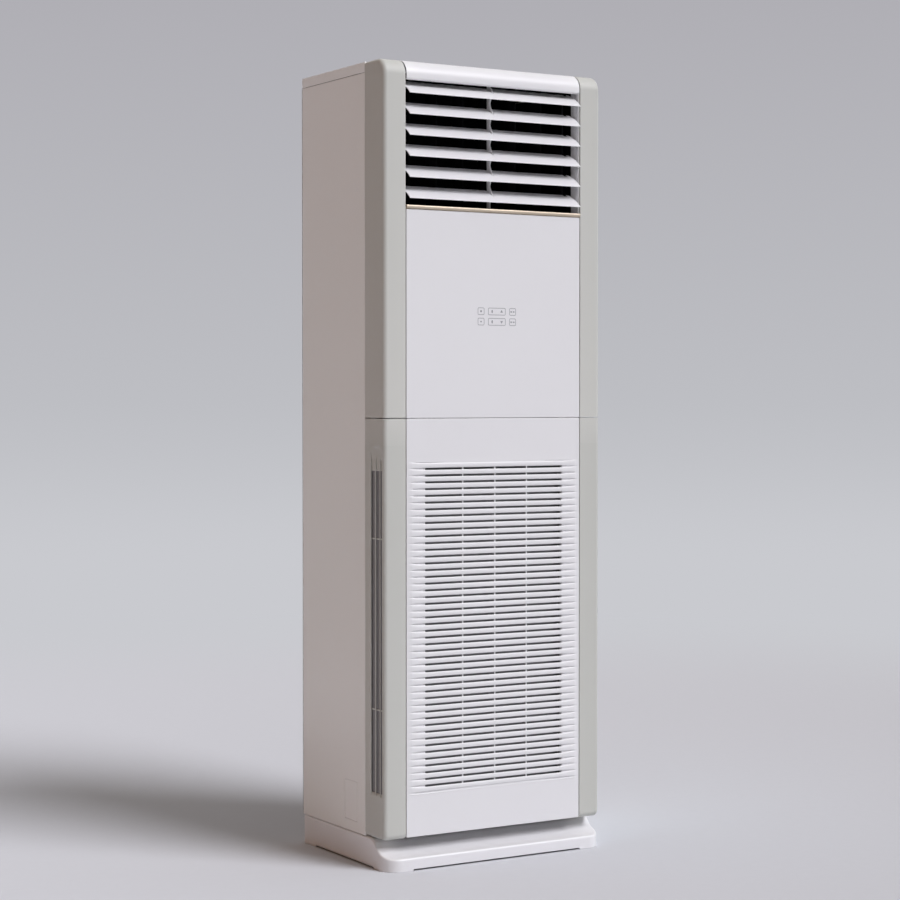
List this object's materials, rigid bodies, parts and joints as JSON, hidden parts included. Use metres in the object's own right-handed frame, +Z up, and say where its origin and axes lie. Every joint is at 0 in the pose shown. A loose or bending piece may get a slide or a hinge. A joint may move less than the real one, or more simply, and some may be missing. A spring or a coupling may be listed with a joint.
{
  "type": "floor standing air conditioner",
  "caption": "Tall floor standing air conditioner cabinet with corner pillars, a louvred outlet at the top, a slotted intake grille below and a stepped plinth.",
  "frame": {"origin": "on the floor, under the middle of the cabinet's footprint", "axes": "+X to the object's left-to-right as seen from the front, +Y to the rear, +Z up; the front faces -Y"},
  "size_m": [0.594, 0.42, 1.85],
  "materials": {
    "white_paint": "warm white powder coat, fine orange peel",
    "white_abs": "white moulded ABS, satin gloss",
    "grey_abs": "light warm grey moulded ABS, satin",
    "champagne_trim": "champagne gold anodised, brushed lengthwise",
    "black_abs": "black moulded plastic",
    "galvanised_steel": "hot dip galvanised, faint spangle",
    "steel": "turned",
    "foam": "moulded polystyrene foam",
    "aluminium_fins": "stamped fins",
    "copper": "drawn copper tube",
    "circuit_board": "solder masked board",
    "rubber": "moulded rubber",
    "filter_net": "woven nylon net in a moulded frame"
  },
  "bodies": {
    "root": {"base_plinth": "white_paint", "base_tray": "galvanised_steel", "side_panel_left": "white_paint", "side_panel_right": "white_paint", "rear_panel": "galvanised_steel", "cable_grommet": "rubber", "top_cover": "white_paint", "fan_deck": "galvanised_steel", "blower_partition": "galvanised_steel", "pillar_upper_left": "grey_abs", "pillar_upper_right": "grey_abs", "door_hinge_left": "galvanised_steel", "door_hinge_right": "galvanised_steel", "door_catch_left": "white_abs", "door_catch_right": "white_abs", "top_bar": "white_abs", "trim_strip": "champagne_trim", "upper_front_panel": "white_abs", "display_board": "circuit_board", "outlet_frame": "grey_abs", "louvre_centre_post": "grey_abs", "outlet_duct": "black_abs", "louvre_motor": "galvanised_steel", "vane_motor": "galvanised_steel", "front_baffle": "foam", "control_box": "galvanised_steel", "control_box_cover": "galvanised_steel", "main_board": "circuit_board", "drain_pan": "foam", "drain_hose": "grey_abs", "gas_pipe": "copper", "liquid_pipe": "copper", "scroll_casing": "galvanised_steel", "inlet_ring": "galvanised_steel", "motor_bracket": "galvanised_steel", "fan_motor": "galvanised_steel", "evaporator_fins": "aluminium_fins", "coil_end_plate_left": "copper", "coil_end_plate_right": "copper"},
    "door": {"lower_front_panel": "white_abs", "pillar_lower_left": "grey_abs", "pillar_lower_right": "grey_abs"},
    "filter": {"filter_frame": "filter_net"},
    "louvre_1": {"louvre_1": "white_abs"},
    "louvre_2": {"louvre_2": "white_abs"},
    "louvre_3": {"louvre_3": "white_abs"},
    "louvre_4": {"louvre_4": "white_abs"},
    "louvre_5": {"louvre_5": "white_abs"},
    "louvre_6": {"louvre_6": "white_abs"},
    "louvre_link": {"louvre_link": "grey_abs"},
    "vane_1": {"vane_1": "black_abs"},
    "vane_2": {"vane_2": "black_abs"},
    "vane_3": {"vane_3": "black_abs"},
    "vane_4": {"vane_4": "black_abs"},
    "vane_5": {"vane_5": "black_abs"},
    "vane_6": {"vane_6": "black_abs"},
    "vane_link": {"vane_link": "black_abs"},
    "fan": {"fan_wheel": "black_abs", "fan_shaft": "steel"}
  },
  "joints": [
    {"name": "door_tilt", "type": "hinge", "parent": "root", "child": "door", "pos_m": [0, -0.14, 0.073], "axis": [1, 0, 0], "range_deg": [0, 25]},
    {"name": "filter_slide", "type": "slide", "parent": "door", "child": "filter", "axis": [0, 0, 1], "range_m": [0, 0.5]},
    {"name": "louvre_1_tilt", "type": "hinge", "parent": "root", "child": "louvre_1", "pos_m": [0, -0.177, 1.7903], "axis": [1, 0, 0], "range_deg": [-50, 45]},
    {"name": "louvre_2_tilt", "type": "hinge", "parent": "root", "child": "louvre_2", "pos_m": [0, -0.177, 1.7426], "axis": [1, 0, 0], "range_deg": [-50, 45]},
    {"name": "louvre_3_tilt", "type": "hinge", "parent": "root", "child": "louvre_3", "pos_m": [0, -0.177, 1.6949], "axis": [1, 0, 0], "range_deg": [-50, 45]},
    {"name": "louvre_4_tilt", "type": "hinge", "parent": "root", "child": "louvre_4", "pos_m": [0, -0.177, 1.6472], "axis": [1, 0, 0], "range_deg": [-50, 45]},
    {"name": "louvre_5_tilt", "type": "hinge", "parent": "root", "child": "louvre_5", "pos_m": [0, -0.177, 1.5995], "axis": [1, 0, 0], "range_deg": [-50, 45]},
    {"name": "louvre_6_tilt", "type": "hinge", "parent": "root", "child": "louvre_6", "pos_m": [0, -0.177, 1.5518], "axis": [1, 0, 0], "range_deg": [-50, 45]},
    {"name": "louvre_link_pivot", "type": "hinge", "parent": "louvre_1", "child": "louvre_link", "pos_m": [0.2216, -0.14101, 1.79093], "axis": [1, 0, 0], "range_deg": [-45, 50]},
    {"name": "vane_1_swing", "type": "hinge", "parent": "root", "child": "vane_1", "pos_m": [-0.1825, -0.085, 1.667], "axis": [0, 0, 1], "range_deg": [-35, 35]},
    {"name": "vane_2_swing", "type": "hinge", "parent": "root", "child": "vane_2", "pos_m": [-0.1095, -0.085, 1.667], "axis": [0, 0, 1], "range_deg": [-35, 35]},
    {"name": "vane_3_swing", "type": "hinge", "parent": "root", "child": "vane_3", "pos_m": [-0.0365, -0.085, 1.667], "axis": [0, 0, 1], "range_deg": [-35, 35]},
    {"name": "vane_4_swing", "type": "hinge", "parent": "root", "child": "vane_4", "pos_m": [0.0365, -0.085, 1.667], "axis": [0, 0, 1], "range_deg": [-35, 35]},
    {"name": "vane_5_swing", "type": "hinge", "parent": "root", "child": "vane_5", "pos_m": [0.1095, -0.085, 1.667], "axis": [0, 0, 1], "range_deg": [-35, 35]},
    {"name": "vane_6_swing", "type": "hinge", "parent": "root", "child": "vane_6", "pos_m": [0.1825, -0.085, 1.667], "axis": [0, 0, 1], "range_deg": [-35, 35]},
    {"name": "vane_link_pivot", "type": "hinge", "parent": "vane_1", "child": "vane_link", "pos_m": [-0.1825, -0.053, 1.5323], "axis": [0, 0, 1], "range_deg": [-35, 35]},
    {"name": "fan_spin", "type": "hinge", "parent": "root", "child": "fan", "pos_m": [-0.01, 0.08, 0.54], "axis": [0, 1, 0], "continuous": true}
  ],
  "couplings": [
    {"joint": "louvre_2_tilt", "follows": "louvre_1_tilt", "ratio": 1},
    {"joint": "louvre_3_tilt", "follows": "louvre_1_tilt", "ratio": 1},
    {"joint": "louvre_4_tilt", "follows": "louvre_1_tilt", "ratio": 1},
    {"joint": "louvre_5_tilt", "follows": "louvre_1_tilt", "ratio": 1},
    {"joint": "louvre_6_tilt", "follows": "louvre_1_tilt", "ratio": 1},
    {"joint": "louvre_link_pivot", "follows": "louvre_1_tilt", "ratio": -1},
    {"joint": "vane_2_swing", "follows": "vane_1_swing", "ratio": 1},
    {"joint": "vane_3_swing", "follows": "vane_1_swing", "ratio": 1},
    {"joint": "vane_4_swing", "follows": "vane_1_swing", "ratio": 1},
    {"joint": "vane_5_swing", "follows": "vane_1_swing", "ratio": 1},
    {"joint": "vane_6_swing", "follows": "vane_1_swing", "ratio": 1},
    {"joint": "vane_link_pivot", "follows": "vane_1_swing", "ratio": -1}
  ]
}
